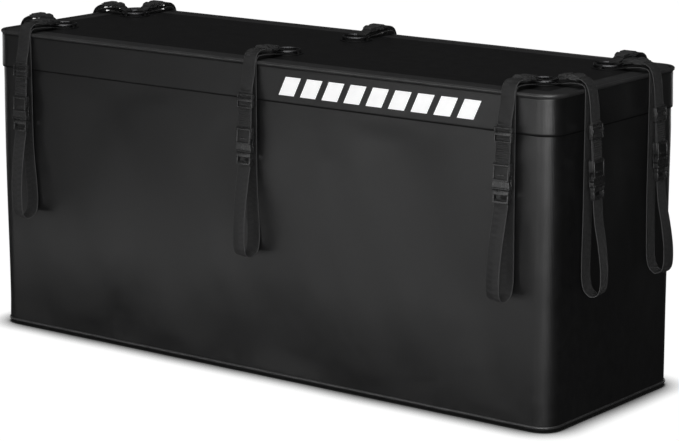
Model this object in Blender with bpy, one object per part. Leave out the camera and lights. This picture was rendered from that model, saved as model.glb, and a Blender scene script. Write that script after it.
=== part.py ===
"""Soft-sided hitch cargo carrier: a welded tarpaulin bag with a zipped lid and ten buckled loop straps.

Metres, +Z up.  The bag stands on z = 0, its length runs along X and its front faces -Y.
"""
import math

import bmesh
import bpy
from mathutils import Matrix, Vector

# ---- Bag shell -------------------------------------------------------------------------------
LENGTH = 1.448          # outside of the end walls
WIDTH = 0.461           # outside of the long walls
CORNER_RADIUS = 0.040   # vertical corners
CORNER_STEPS = 5
WALL = 0.0015
FLOOR = 0.0020
TUB_RIM_Z = 0.590       # upper edge of the tub's wall, hidden behind the skirt

LID_TOP_Z = 0.6535      # rim of the lid panel
CROWN = 0.0035          # the panel's flat middle stands this much higher
CROWN_INSET = 0.058     # where the flat middle starts, in from the tub's wall
PANEL = 0.0020
SKIRT_Z = 0.577         # lower edge of the skirt, and the sewn hinge line at the back
SKIRT_OUT = 0.0022      # how far the skirt's face stands outside the tub's wall
SKIRT = 0.0015
CHAMFER = 0.0066        # seat of the piping round the lid's top edge
PIPING_RADIUS = 0.0040
PIPING_OUT = 0.0012     # centre of the piping, outside the tub's wall
PIPING_Z = 0.6540
WELT_Z = (0.006, 0.012)
WELT_OUT = (0.0003, 0.0024)
HINGE_Y = WIDTH / 2 + 0.003

# ---- Zip -------------------------------------------------------------------------------------
TAPE_OUT = -0.0018      # outer face of both tapes, just inside the tub's wall
TAPE = 0.0012
LOWER_TAPE_Z = (0.566, 0.600)
UPPER_TAPE_Z = (0.602, 0.6465)
TAPE_BACK_Y = 0.170     # where the zip ends on the two end walls
SLIDER_LENGTH = 0.013
SLIDER_PLATE = 0.0017
SLIDER_Z = (0.5905, 0.6013)
PULL_LENGTH = 0.022
SLIDER_START_X = 0.0080

# ---- Anchors on the lid ----------------------------------------------------------------------
GAP = 0.0003            # clearance between solids that touch
ANCHOR_X = 0.627        # corner anchors, along the length; the middle ones are at 0
ANCHOR_Y = 0.118
PATCH_RADIUS = 0.034
PATCH = 0.0018
PATCH_Z = LID_TOP_Z + CROWN + GAP  # underside of the patches
RING_RADIUS = 0.0275    # to the middle of the ring's section
RING_SECTION = 0.0027
RING_Z = 0.6645         # lifted off the patch by the webbing that passes under it
KEEPER = (0.0096, 0.012)           # radial and tangential length
KEEPER_SKIN = 0.0012    # over the ring

# ---- Straps ----------------------------------------------------------------------------------
WEB_WIDTH = 0.032
NECK_WIDTH = 0.024      # where the webbing folds round the ring
NECK_STARTS = 0.030     # before the ring
NECK_RUN = 0.020
WEB = 0.0016
WRAP_RADIUS = 0.0042    # middle of the webbing round the ring's section
LEAN = math.radians(3.20)          # the buckled strand leans out from the wall
STRAND_TOP = (0.0200, 0.604)       # outward distance and height where the straight strand starts
BUCKLE_Z = 0.524        # upper end of the buckle
EDGE_BOW = 0.0046       # slack straps stand this much further out from the lid's edge
LONG_LOOP_OUT = 0.0565  # how far the loop swings out, on the front and the back
SHORT_LOOP_OUT = 0.0490            # and on the ends
PIVOT_FRONT = (0.0035, SKIRT_Z)    # where a strap bends as the lid opens: (out, z)
PIVOT_ELSEWHERE = (0.0070, 0.655)
GLIDE_ABOVE_BUCKLE = 0.0531

BUCKLE_LENGTH = 0.052   # socket half
MALE_LENGTH = 0.0256    # plug half, outside the socket
BUCKLE_HALF = (0.0058, 0.0195)     # thickness and width, halved
MALE_HALF = (0.0052, 0.0185)
SLOT_HALF = (0.0014, 0.0168)
SLOT_DEPTH = 0.008
MOUTH_HALF = (0.0036, 0.0165)
MOUTH_DEPTH = 0.0285
WINDOW_Z = (-0.041, -0.028)        # side windows over the prongs' heads
PRONG_HALF = (0.0030, 0.0030)
PRONG_SIDE = 0.0125
PRONG_REACH = 0.0255
GUIDE_REACH = 0.0180

GLIDE_HALF = (0.0030, 0.0200, 0.0145)
TUNNEL_HALF = (0.0013, 0.0167)
GLIDE_WINDOW_HALF = 0.0150
GLIDE_WINDOWS_Z = ((-0.0110, -0.0030), (0.0030, 0.0110))
PAST = 0.01             # cutters run this far past the faces they cut

FRONT, RIGHT, BACK, LEFT = (math.radians(a) for a in (-90.0, 0.0, 90.0, 180.0))

#        name           direction  place along the wall
STRAPS = (("front_left", FRONT, -ANCHOR_X), ("front_mid", FRONT, 0.0), ("front_right", FRONT, ANCHOR_X),
          ("back_left", BACK, -ANCHOR_X), ("back_mid", BACK, 0.0), ("back_right", BACK, ANCHOR_X),
          ("left_front", LEFT, -ANCHOR_Y), ("left_back", LEFT, ANCHOR_Y),
          ("right_front", RIGHT, -ANCHOR_Y), ("right_back", RIGHT, ANCHOR_Y))


def material(name, colour, roughness, metallic=0.0):
    made = bpy.data.materials.new(name)
    made.use_nodes = True
    shader = made.node_tree.nodes["Principled BSDF"]
    shader.inputs["Base Color"].default_value = (*colour, 1.0)
    shader.inputs["Roughness"].default_value = roughness
    shader.inputs["Metallic"].default_value = metallic
    return made


def mesh_from(name, points, faces):
    mesh = bpy.data.meshes.new(name)
    mesh.from_pydata([tuple(p) for p in points], [], faces)
    shell = bmesh.new()
    shell.from_mesh(mesh)
    bmesh.ops.recalc_face_normals(shell, faces=shell.faces)
    shell.to_mesh(mesh)
    shell.free()
    return mesh


def place(name, mesh, surface, location=(0, 0, 0), rotation=(0, 0, 0), parent=None, smooth=False):
    mesh.materials.clear()
    mesh.materials.append(surface)
    if smooth:
        mesh.shade_smooth()
        mesh.set_sharp_from_angle(angle=math.radians(40))
    made = bpy.data.objects.new(name, mesh)
    made.location = location
    made.rotation_euler = rotation
    made.parent = parent
    bpy.context.scene.collection.objects.link(made)
    return made


def pivot(name, location, rotation=(0, 0, 0), parent=None):
    made = bpy.data.objects.new(name, None)
    made.empty_display_size = 0.03
    made.location = location
    made.rotation_euler = rotation
    made.parent = parent
    bpy.context.scene.collection.objects.link(made)
    return made


# ---- Outlines --------------------------------------------------------------------------------
def bag_outline(out):
    """The bag's plan outline, offset outwards by out, anticlockwise from the right front corner."""
    radius = max(CORNER_RADIUS + out, CORNER_RADIUS / 4)
    points = []
    for turn, (side_x, side_y) in enumerate(((1, -1), (1, 1), (-1, 1), (-1, -1))):
        centre = (side_x * (LENGTH / 2 + out - radius), side_y * (WIDTH / 2 + out - radius))
        for step in range(CORNER_STEPS + 1):
            angle = math.radians(-90 + 90 * turn + 90 * step / CORNER_STEPS)
            points.append((centre[0] + radius * math.cos(angle), centre[1] + radius * math.sin(angle)))
    return points


def stacked(name, rings, capped):
    """Joins loops of equal length; capped closes the first and last, otherwise they join each other."""
    count = len(rings[0])
    points = [p for ring in rings for p in ring]
    faces = []
    pairs = [(i, i + 1) for i in range(len(rings) - 1)]
    if not capped:
        pairs.append((len(rings) - 1, 0))
    for low, high in pairs:
        for k in range(count):
            nxt = (k + 1) % count
            faces.append((low * count + k, low * count + nxt, high * count + nxt, high * count + k))
    if capped:
        faces.append(tuple(range(count)))
        faces.append(tuple((len(rings) - 1) * count + k for k in range(count)))
    return mesh_from(name, points, faces)


def ring_at(out, z):
    return [(x, y, z) for x, y in bag_outline(out)]


def band_round(name, profile):
    """A closed band that follows the bag's outline; profile lists (out, z) round its section."""
    return stacked(name, [ring_at(out, z) for out, z in profile], capped=False)


def tape_mesh(name, low, high):
    """A flat tape along the front wall and both end walls, inside the tub's wall."""
    def path(out):
        outline = bag_outline(out)
        steps = CORNER_STEPS + 1
        right, left = outline[:steps], outline[3 * steps:]
        return [(-(LENGTH / 2 + out), TAPE_BACK_Y)] + left + right + [(LENGTH / 2 + out, TAPE_BACK_Y)]
    outer, inner = path(TAPE_OUT), path(TAPE_OUT - TAPE)
    sections = [[(*o, low), (*o, high), (*i, high), (*i, low)] for o, i in zip(outer, inner)]
    return stacked(name, sections, capped=True)


# ---- Solids made of blocks -------------------------------------------------------------------
def block_corners(low, high):
    return [(x, y, z) for x in (low[0], high[0]) for y in (low[1], high[1]) for z in (low[2], high[2])]


BLOCK_FACES = ((0, 1, 3, 2), (4, 6, 7, 5), (0, 4, 5, 1), (2, 3, 7, 6), (0, 2, 6, 4), (1, 5, 7, 3))


def block(low, high):
    return mesh_from("block", block_corners(low, high), BLOCK_FACES)


def combined(name, start, steps):
    """Applies (operation, mesh) steps to a starting mesh with exact Booleans and returns the result."""
    scene = bpy.context.scene.collection
    body = bpy.data.objects.new(name, start)
    scene.objects.link(body)
    tools = []
    for operation, mesh in steps:
        tool = bpy.data.objects.new(name + "_tool", mesh)
        scene.objects.link(tool)
        tools.append(tool)
        cut = body.modifiers.new("cut", "BOOLEAN")
        cut.operation = operation
        cut.solver = "EXACT"
        cut.object = tool
    graph = bpy.context.evaluated_depsgraph_get()
    result = bpy.data.meshes.new_from_object(body.evaluated_get(graph))
    result.name = name
    for leftover in [body] + tools:
        bpy.data.objects.remove(leftover)
    return result


def torus_mesh(major, minor, z, around=20, section=6):
    rings = []
    for k in range(around):
        turn = 2 * math.pi * k / around
        ring = []
        for j in range(section):
            tilt = 2 * math.pi * (j + 0.5) / section
            reach = major + minor * math.cos(tilt)
            ring.append((reach * math.cos(turn), reach * math.sin(turn), z + minor * math.sin(tilt)))
        rings.append(ring)
    return stacked("torus", rings, capped=False)


# ---- Strap hardware: x is the thickness, y the width and z the strap's own length ------------
def socket_mesh():
    """Socket half of the buckle, its upper end at z = 0."""
    thick, wide = BUCKLE_HALF
    body = block((-thick, -wide, -BUCKLE_LENGTH), (thick, wide, 0))
    slot = block((-SLOT_HALF[0], -SLOT_HALF[1], -SLOT_DEPTH), (SLOT_HALF[0], SLOT_HALF[1], PAST))
    mouth = block((-MOUTH_HALF[0], -MOUTH_HALF[1], -BUCKLE_LENGTH - PAST),
                  (MOUTH_HALF[0], MOUTH_HALF[1], -BUCKLE_LENGTH + MOUTH_DEPTH))
    inner = MOUTH_HALF[0] - GAP
    window = block((-inner, -wide - PAST, WINDOW_Z[0]), (inner, wide + PAST, WINDOW_Z[1]))
    return combined("socket", body, (("DIFFERENCE", slot), ("DIFFERENCE", mouth), ("DIFFERENCE", window)))


def plug_mesh():
    """Plug half of the buckle; z = 0 is the socket's upper end, so that it starts below the socket."""
    thick, wide = MALE_HALF
    top = -BUCKLE_LENGTH - GAP
    body = block((-thick, -wide, top - MALE_LENGTH), (thick, wide, top))
    slot = block((-SLOT_HALF[0], -SLOT_HALF[1], top - MALE_LENGTH - PAST),
                 (SLOT_HALF[0], SLOT_HALF[1], top - MALE_LENGTH + SLOT_DEPTH))
    steps = [("DIFFERENCE", slot)]
    for side in (-PRONG_SIDE, 0.0, PRONG_SIDE):
        reach = PRONG_REACH if side else GUIDE_REACH
        steps.append(("UNION", block((-PRONG_HALF[0], side - PRONG_HALF[1], top - 0.004),
                                     (PRONG_HALF[0], side + PRONG_HALF[1], top + reach))))
    return combined("plug", body, steps)


def glide_mesh():
    """Tri-glide: a frame that the webbing runs through, with the bars showing on its face."""
    thick, wide, tall = GLIDE_HALF
    body = block((-thick, -wide, -tall), (thick, wide, tall))
    tunnel = block((-TUNNEL_HALF[0], -TUNNEL_HALF[1], -tall - PAST),
                   (TUNNEL_HALF[0], TUNNEL_HALF[1], tall + PAST))
    steps = [("DIFFERENCE", tunnel)]
    for low, high in GLIDE_WINDOWS_Z:
        steps.append(("DIFFERENCE", block((0, -GLIDE_WINDOW_HALF, low), (PAST, GLIDE_WINDOW_HALF, high))))
    return combined("glide", body, steps)


# ---- Webbing ---------------------------------------------------------------------------------
def strand_point(below_buckle):
    """A point of the straight strand, below_buckle metres under the buckle's upper end."""
    drop = STRAND_TOP[1] - BUCKLE_Z
    out = STRAND_TOP[0] + drop * math.tan(LEAN)
    return (out + below_buckle * math.sin(LEAN), BUCKLE_Z - below_buckle * math.cos(LEAN))


def smooth_through(points, steps=2):
    """Catmull-Rom curve through (out, z) points."""
    ends = [points[0]] + list(points) + [points[-1]]
    curve = []
    for k in range(1, len(ends) - 2):
        before, here, there, after = (Vector(p) for p in ends[k - 1:k + 3])
        for step in range(steps):
            t = step / steps
            curve.append(0.5 * (2 * here + (there - before) * t
                                + (2 * before - 5 * here + 4 * there - after) * t ** 2
                                + (3 * here - before - 3 * there + after) * t ** 3))
    curve.append(Vector(points[-1]))
    return curve


def webbing_path(reach, bow, swing):
    """Middle line of the webbing as (out, z).

    reach is the distance in from the wall to the ring, bow the extra slack at the lid's edge, and swing
    how far out the hanging loop comes.
    """
    bottom = BUCKLE_LENGTH + MALE_LENGTH
    start, end = strand_point(SLOT_DEPTH - GAP), strand_point(bottom - SLOT_DEPTH + 2 * GAP)
    over = [STRAND_TOP, (0.0132 + bow, 0.630), (0.0102 + 0.9 * bow, 0.651), (0.0055 + 0.45 * bow, 0.6668),
            (-0.0035, 0.6762), (-0.016, 0.6795), (-0.45 * reach, 0.6786), (-0.70 * reach, 0.6747)]
    fold = -(reach + 0.003)
    wrap = []
    for step in range(7):
        angle = math.radians(90 + 180 * step / 6)
        wrap.append(Vector((fold + WRAP_RADIUS * math.cos(angle), RING_Z + WRAP_RADIUS * math.sin(angle))))
    back = [(-(reach - 0.004), RING_Z - WRAP_RADIUS), (-0.8 * reach, 0.6597), (-0.4 * reach, 0.6598),
            (-0.004, 0.6612), (0.0045, 0.6590), (0.0070, 0.6520), (0.0070, 0.635), (0.0070, 0.520),
            (0.0070, 0.400), (0.0072, 0.320), (0.0086, 0.288), (0.0140, 0.2685), (0.0235, 0.2605),
            (swing - 0.0215, 0.2585), (swing - 0.0105, 0.2610), (swing - 0.0025, 0.2710), (swing, 0.290),
            (0.97 * swing, 0.322), (0.84 * swing, 0.364), (0.68 * swing, 0.402), strand_point(bottom + 0.006)]
    upper = smooth_through(over + [(-(reach - 0.004), RING_Z + WRAP_RADIUS)])
    lower = smooth_through(back)
    return [Vector(start)] + upper + wrap + lower + [Vector(strand_point(bottom + 0.002)), Vector(end)]


def webbing_width(point, reach):
    """Full width, narrowing to the neck in the last stretch before the ring."""
    if point.y < RING_Z - 2 * WRAP_RADIUS:
        return WEB_WIDTH
    toward = (-point.x - (reach - NECK_STARTS)) / NECK_RUN
    return WEB_WIDTH + (NECK_WIDTH - WEB_WIDTH) * min(1.0, max(0.0, toward))


def webbing_mesh(reach, bow, swing):
    path = webbing_path(reach, bow, swing)
    sections = []
    for k, point in enumerate(path):
        along = (path[min(k + 1, len(path) - 1)] - path[max(k - 1, 0)]).normalized()
        side = Vector((-along.y, along.x)) * WEB / 2
        half = webbing_width(point, reach) / 2
        a, b = point + side, point - side
        sections.append([(a.x, -half, a.y), (a.x, half, a.y), (b.x, half, b.y), (b.x, -half, b.y)])
    return stacked("webbing", sections, capped=True)


# ---- Sub-assemblies --------------------------------------------------------------------------
def build_tub(tarp, tape):
    wall = band_round("tub", [(0, 0), (0, TUB_RIM_Z), (-WALL, TUB_RIM_Z), (-WALL, FLOOR)])
    shell = bmesh.new()
    shell.from_mesh(wall)
    seam = [e for e in shell.edges if {round(v.co.z, 5) for v in e.verts} == {0.0, FLOOR}]
    floor_sides = [f for f in shell.faces if all(round(v.co.z, 5) in (0.0, FLOOR) for v in f.verts)]
    bmesh.ops.delete(shell, geom=floor_sides, context="FACES_ONLY")
    bmesh.ops.delete(shell, geom=[e for e in seam if e.is_valid and not e.link_faces], context="EDGES")
    for height in (0.0, FLOOR):
        rim = [e for e in shell.edges if all(abs(v.co.z - height) < 1e-6 for v in e.verts)]
        bmesh.ops.contextual_create(shell, geom=rim)
    bmesh.ops.recalc_face_normals(shell, faces=shell.faces)
    shell.to_mesh(wall)
    shell.free()
    place("bag_body", wall, tarp)
    low, high = WELT_Z
    inner, outer = WELT_OUT
    middle = (low + high) / 2
    place("base_welt", band_round("welt", [(inner, low), (outer, middle - 0.0015), (outer, middle + 0.0015),
                                           (inner, high)]), tarp)
    place("zip_tape_lower", tape_mesh("tape", *LOWER_TAPE_Z), tape)


def build_lid(tarp, tape, hinge):
    offset = tuple(-v for v in hinge.location)
    inside = SKIRT_OUT - SKIRT
    under = LID_TOP_Z - PANEL
    rings = [ring_at(-CROWN_INSET, under + CROWN), ring_at(inside - CHAMFER, under),
             ring_at(inside, under - CHAMFER), ring_at(inside, SKIRT_Z), ring_at(SKIRT_OUT, SKIRT_Z),
             ring_at(SKIRT_OUT, LID_TOP_Z - CHAMFER), ring_at(SKIRT_OUT - CHAMFER, LID_TOP_Z),
             ring_at(-CROWN_INSET, LID_TOP_Z + CROWN)]
    place("lid", stacked("lid", rings, capped=True), tarp, offset, parent=hinge)
    bead = []
    for step in range(8):
        angle = 2 * math.pi * step / 8
        bead.append((PIPING_OUT + PIPING_RADIUS * math.cos(angle), PIPING_Z + PIPING_RADIUS * math.sin(angle)))
    place("lid_piping", band_round("piping", bead), tarp, offset, parent=hinge, smooth=True)
    place("zip_tape_upper", tape_mesh("tape", *UPPER_TAPE_Z), tape, offset, parent=hinge)


def slider_mesh(side):
    """Zip slider straddling the lower tape's edge, with its pull lying outward along the tape."""
    face_y = -(WIDTH / 2 + TAPE_OUT)
    back_y = -(WIDTH / 2 + TAPE_OUT - TAPE)
    half = SLIDER_LENGTH / 2
    low, high = SLIDER_Z
    outer = block((-half, face_y - GAP - SLIDER_PLATE, low), (half, face_y - GAP, high))
    bridge = block((-half, face_y - GAP - 0.0005, high - 0.0009), (half, back_y + GAP + 0.0005, high))
    inner = block((-half, back_y + GAP, low), (half, back_y + GAP + SLIDER_PLATE, high))
    far = side * (half + PULL_LENGTH)
    near = side * (half - 0.001)
    pull = block((min(near, far), face_y - GAP - SLIDER_PLATE + 0.0003, low + 0.0020),
                 (max(near, far), face_y - GAP - 0.0003, high - 0.0025))
    return combined("slider", outer, (("UNION", bridge), ("UNION", inner), ("UNION", pull)))


def build_zip_sliders(metal):
    for name, side in (("zip_slider_left", -1), ("zip_slider_right", 1)):
        place(name, slider_mesh(side), metal, (side * SLIDER_START_X, 0, 0))


def build_anchor(name, x, y, keeper_turns, tarp, steel, hinge):
    """Welded round patch with two keepers, and the steel ring that they hold down flat."""
    turns = [2 * math.pi * k / 20 for k in range(20)]
    disc = [[(PATCH_RADIUS * math.cos(turn), PATCH_RADIUS * math.sin(turn), height) for turn in turns]
            for height in (PATCH_Z, PATCH_Z + PATCH)]
    steps = []
    radial, tangential = KEEPER
    keeper_top = RING_Z + RING_SECTION + 2 * GAP + KEEPER_SKIN
    for turn in keeper_turns:
        keeper = block((RING_RADIUS - radial / 2, -tangential / 2, PATCH_Z + PATCH / 2),
                       (RING_RADIUS + radial / 2, tangential / 2, keeper_top))
        keeper.transform(Matrix.Rotation(math.radians(turn), 4, "Z"))
        steps.append(("UNION", keeper))
    steps.append(("DIFFERENCE", torus_mesh(RING_RADIUS, RING_SECTION + 2 * GAP, RING_Z)))
    spot = Vector((x, y, 0)) - hinge.location
    place("anchor_patch_" + name, combined("patch", stacked("disc", disc, capped=True), steps), tarp, spot,
          parent=hinge)
    place("anchor_ring_" + name, torus_mesh(RING_RADIUS, RING_SECTION, RING_Z), steel, spot, parent=hinge,
          smooth=True)


def build_anchors(tarp, steel, hinge):
    for row, side_y in (("front", -1), ("back", 1)):
        for column, side_x in (("left", -1), ("mid", 0), ("right", 1)):
            keepers = (0, 180) if side_x == 0 else (90 + 90 * side_x, -90 * side_y)
            build_anchor(row + "_" + column, side_x * ANCHOR_X, side_y * ANCHOR_Y, keepers, tarp, steel, hinge)


def build_straps(webbing, plastic, hinge):
    socket, plug, glide = socket_mesh(), plug_mesh(), glide_mesh()
    long_reach = WIDTH / 2 - ANCHOR_Y - RING_RADIUS
    short_reach = LENGTH / 2 - ANCHOR_X - RING_RADIUS
    front_web = webbing_mesh(long_reach, 0, LONG_LOOP_OUT)
    back_web = webbing_mesh(long_reach, EDGE_BOW, LONG_LOOP_OUT)
    end_web = webbing_mesh(short_reach, EDGE_BOW, SHORT_LOOP_OUT)
    for name, direction, along in STRAPS:
        on_end = direction in (LEFT, RIGHT)
        distance = (LENGTH if on_end else WIDTH) / 2
        bend_out, bend_z = PIVOT_FRONT if direction == FRONT else PIVOT_ELSEWHERE
        web = end_web if on_end else front_web if direction == FRONT else back_web
        outward = Vector((round(math.cos(direction)), round(math.sin(direction)), 0))
        across = Vector((0, along, 0)) if on_end else Vector((along, 0, 0))
        bend = across + outward * (distance + bend_out) + Vector((0, 0, bend_z))
        hang = pivot("strap_pivot_" + name, bend - hinge.location, (0, 0, direction), hinge)
        place("webbing_" + name, web, webbing, (-bend_out, 0, -bend_z), parent=hang)
        out, z = strand_point(0)
        at_buckle = (out - bend_out, 0, z - bend_z)
        place("buckle_socket_" + name, socket, plastic, at_buckle, (0, -LEAN, 0), hang)
        place("buckle_plug_" + name, plug, plastic, at_buckle, (0, -LEAN, 0), hang)
        out, z = strand_point(-GLIDE_ABOVE_BUCKLE)
        place("tri_glide_" + name, glide, plastic, (out - bend_out, 0, z - bend_z), (0, -LEAN, 0), hang)


def main():
    for leftover in list(bpy.data.objects):
        bpy.data.objects.remove(leftover)
    tarp = material("coated_tarpaulin", (0.030, 0.030, 0.032), 0.42)
    tape = material("zip_tape", (0.012, 0.012, 0.013), 0.80)
    webbing = material("woven_webbing", (0.035, 0.035, 0.037), 0.75)
    plastic = material("moulded_plastic", (0.020, 0.020, 0.021), 0.45)
    steel = material("ring_steel", (0.20, 0.20, 0.21), 0.35, 0.9)
    hinge = pivot("lid_hinge", (0, HINGE_Y, SKIRT_Z))
    build_tub(tarp, tape)
    build_lid(tarp, tape, hinge)
    build_zip_sliders(steel)
    build_anchors(tarp, steel, hinge)
    build_straps(webbing, plastic, hinge)
    bpy.context.view_layer.update()


main()
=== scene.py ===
"""Looks of the soft hitch cargo carrier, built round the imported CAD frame.  Metres, +Z up, front faces -Y."""
import math

import bmesh
import bpy
from mathutils import Matrix, Vector


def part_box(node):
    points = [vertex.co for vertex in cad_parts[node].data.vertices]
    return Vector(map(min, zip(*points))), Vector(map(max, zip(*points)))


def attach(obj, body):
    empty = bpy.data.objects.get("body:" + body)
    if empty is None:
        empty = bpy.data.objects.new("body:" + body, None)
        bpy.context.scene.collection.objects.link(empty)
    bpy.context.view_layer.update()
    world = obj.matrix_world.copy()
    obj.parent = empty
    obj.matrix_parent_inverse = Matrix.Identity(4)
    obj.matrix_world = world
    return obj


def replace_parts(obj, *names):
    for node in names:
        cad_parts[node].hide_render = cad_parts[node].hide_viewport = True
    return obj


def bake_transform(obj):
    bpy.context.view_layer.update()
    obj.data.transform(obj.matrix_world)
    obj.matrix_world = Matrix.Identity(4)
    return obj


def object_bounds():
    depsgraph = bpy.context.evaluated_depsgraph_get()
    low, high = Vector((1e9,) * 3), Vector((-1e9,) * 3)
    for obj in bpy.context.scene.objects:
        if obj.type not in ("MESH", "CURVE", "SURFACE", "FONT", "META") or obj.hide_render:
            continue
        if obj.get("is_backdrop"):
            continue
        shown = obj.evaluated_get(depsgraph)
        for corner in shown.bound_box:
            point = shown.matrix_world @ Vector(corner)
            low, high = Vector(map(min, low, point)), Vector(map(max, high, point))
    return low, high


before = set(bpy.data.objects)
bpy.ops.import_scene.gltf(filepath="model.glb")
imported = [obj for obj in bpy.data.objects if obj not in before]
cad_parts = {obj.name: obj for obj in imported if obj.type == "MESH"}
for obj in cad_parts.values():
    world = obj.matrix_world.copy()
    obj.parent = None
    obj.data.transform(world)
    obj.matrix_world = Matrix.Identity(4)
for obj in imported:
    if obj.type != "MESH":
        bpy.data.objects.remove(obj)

CAD_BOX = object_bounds()

# ---- Sizes from the frame --------------------------------------------------------------------


def span(node):
    low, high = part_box(node)
    return Vector(low), Vector(high)


TUB_HIGH = span("bag_body")[1]
LID_LOW, LID_HIGH = span("lid")
PIPING_LOW, PIPING_HIGH = span("lid_piping")
WELT_LOW, WELT_HIGH = span("base_welt")
RING_LOW, RING_HIGH = span("anchor_ring_front_left")
PATCH_LOW, PATCH_HIGH = span("anchor_patch_front_left")

HALF_X, HALF_Y = TUB_HIGH.x, TUB_HIGH.y
RIM_Z = TUB_HIGH.z
SKIRT_Z, LID_TOP = LID_LOW.z, LID_HIGH.z
SKIRT_OUT = LID_HIGH.x - HALF_X
PIPING_RADIUS = (PIPING_HIGH.z - PIPING_LOW.z) / 2
PIPING_OUT = PIPING_HIGH.x - HALF_X - PIPING_RADIUS
PIPING_Z = PIPING_LOW.z + PIPING_RADIUS
ANCHOR_X = abs(RING_LOW.x + RING_HIGH.x) / 2
ANCHOR_Y = abs(RING_LOW.y + RING_HIGH.y) / 2
RING_SECTION = (RING_HIGH.z - RING_LOW.z) / 2
RING_RADIUS = (RING_HIGH.x - RING_LOW.x) / 2 - RING_SECTION
RING_Z = (RING_HIGH.z + RING_LOW.z) / 2
PATCH_RADIUS = (PATCH_HIGH.x - PATCH_LOW.x) / 2
WELT_OUT = 0.0003       # middle of the base's welt outside the wall
WELT_RADIUS = 0.0027
PATCH = 0.0018          # thickness of the anchors' round patches
CORNER = 0.040          # radius of the bag's vertical corners
CHAMFER = 0.0066        # seat of the piping
CROWN = 0.0035          # the lid's middle stands this much above its rim
SHOULDER = 0.019        # width of the rounded shoulder just inside the piping
BAND_WIDTH = 0.038      # welded border round the lid's panel
HEM_HEIGHT = 0.0030     # painted shadow: a dark strip along the skirt's lower edge
RIM_TOP = LID_TOP - CROWN
ANCHORS = [(row + "_" + column, side_x * ANCHOR_X, side_y * ANCHOR_Y)
           for row, side_y in (("front", -1), ("back", 1))
           for column, side_x in (("left", -1), ("mid", 0), ("right", 1))]
FRONT, RIGHT, BACK, LEFT = -90.0, 0.0, 90.0, 180.0
#        name, direction in degrees, place along the wall, sideways drift of the loop's bottom
STRAPS = (("front_left", FRONT, -ANCHOR_X, 0.011), ("front_mid", FRONT, 0.0, 0.007),
          ("front_right", FRONT, ANCHOR_X, 0.001), ("back_left", BACK, -ANCHOR_X, -0.006),
          ("back_mid", BACK, 0.0, 0.004), ("back_right", BACK, ANCHOR_X, 0.008),
          ("left_front", LEFT, -ANCHOR_Y, 0.006), ("left_back", LEFT, ANCHOR_Y, -0.004),
          ("right_front", RIGHT, -ANCHOR_Y, -0.003), ("right_back", RIGHT, ANCHOR_Y, 0.003))


# ---- Small node-graph helper -----------------------------------------------------------------
class Graph:
    """Builds a material's node tree; sockets are passed as they are, numbers become constants."""

    def __init__(self, name):
        self.material = bpy.data.materials.new(name)
        self.material.use_nodes = True
        self.tree = self.material.node_tree
        self.shader = self.tree.nodes["Principled BSDF"]

    def add(self, kind, settings=(), **inputs):
        node = self.tree.nodes.new(kind)
        for key, value in dict(settings).items():
            setattr(node, key, value)
        for key, value in inputs.items():
            self.feed(node.inputs[key.replace("_", " ")], value)
        return node

    def feed(self, socket, value):
        if isinstance(value, bpy.types.NodeSocket):
            self.tree.links.new(value, socket)
        else:
            socket.default_value = value

    def math(self, operation, a, b=0.0, c=0.0):
        node = self.tree.nodes.new("ShaderNodeMath")
        node.operation = operation
        for socket, value in zip(node.inputs, (a, b, c)):
            self.feed(socket, value)
        return node.outputs[0]

    def total(self, value, *more):
        for other in more:
            value = self.math("ADD", value, other)
        return value

    def ripple(self, value, pitch):
        """A sine wave that repeats every pitch metres of value."""
        return self.math("SINE", self.math("MULTIPLY", value, 2 * math.pi / pitch))

    def remap(self, value, low, high, to_low=0.0, to_high=1.0):
        node = self.add("ShaderNodeMapRange", Value=value)
        for key, number in (("From Min", low), ("From Max", high), ("To Min", to_low), ("To Max", to_high)):
            node.inputs[key].default_value = number
        return node.outputs["Result"]

    def mix(self, factor, a, b):
        node = self.add("ShaderNodeMix", {"data_type": "RGBA"})
        self.feed(node.inputs["Factor"], factor)
        for socket, colour in ((node.inputs[6], a), (node.inputs[7], b)):
            self.feed(socket, colour if isinstance(colour, bpy.types.NodeSocket) else (*colour, 1.0))
        return node.outputs[2]

    def noise(self, vector, scale, detail=3.0, roughness=0.5):
        node = self.add("ShaderNodeTexNoise", Vector=vector)
        node.inputs["Scale"].default_value = scale
        node.inputs["Detail"].default_value = detail
        node.inputs["Roughness"].default_value = roughness
        return node.outputs[0]

    def bump(self, height, strength, distance, normal=None):
        node = self.add("ShaderNodeBump", Height=height)
        node.inputs["Strength"].default_value = strength
        node.inputs["Distance"].default_value = distance
        if normal is not None:
            self.feed(node.inputs["Normal"], normal)
        return node.outputs[0]

    def finish(self, **inputs):
        for key, value in inputs.items():
            socket = self.shader.inputs[key.replace("_", " ")]
            if isinstance(value, tuple) and len(value) == 3:
                value = (*value, 1.0)
            self.feed(socket, value)
        return self.material


def tint(shade, factor):
    """A colour made darker or lighter."""
    return tuple(c * factor for c in shade)


def place_of(graph):
    return graph.add("ShaderNodeTexCoord").outputs["Object"]


def run_of(graph):
    """(along, across) of a strap in metres, stored on its points."""
    node = graph.add("ShaderNodeAttribute", {"attribute_name": "run"})
    split = graph.add("ShaderNodeSeparateXYZ", Vector=node.outputs["Vector"])
    return node.outputs["Vector"], split.outputs["X"], split.outputs["Y"]


THREAD_PITCH = 0.0022


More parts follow.
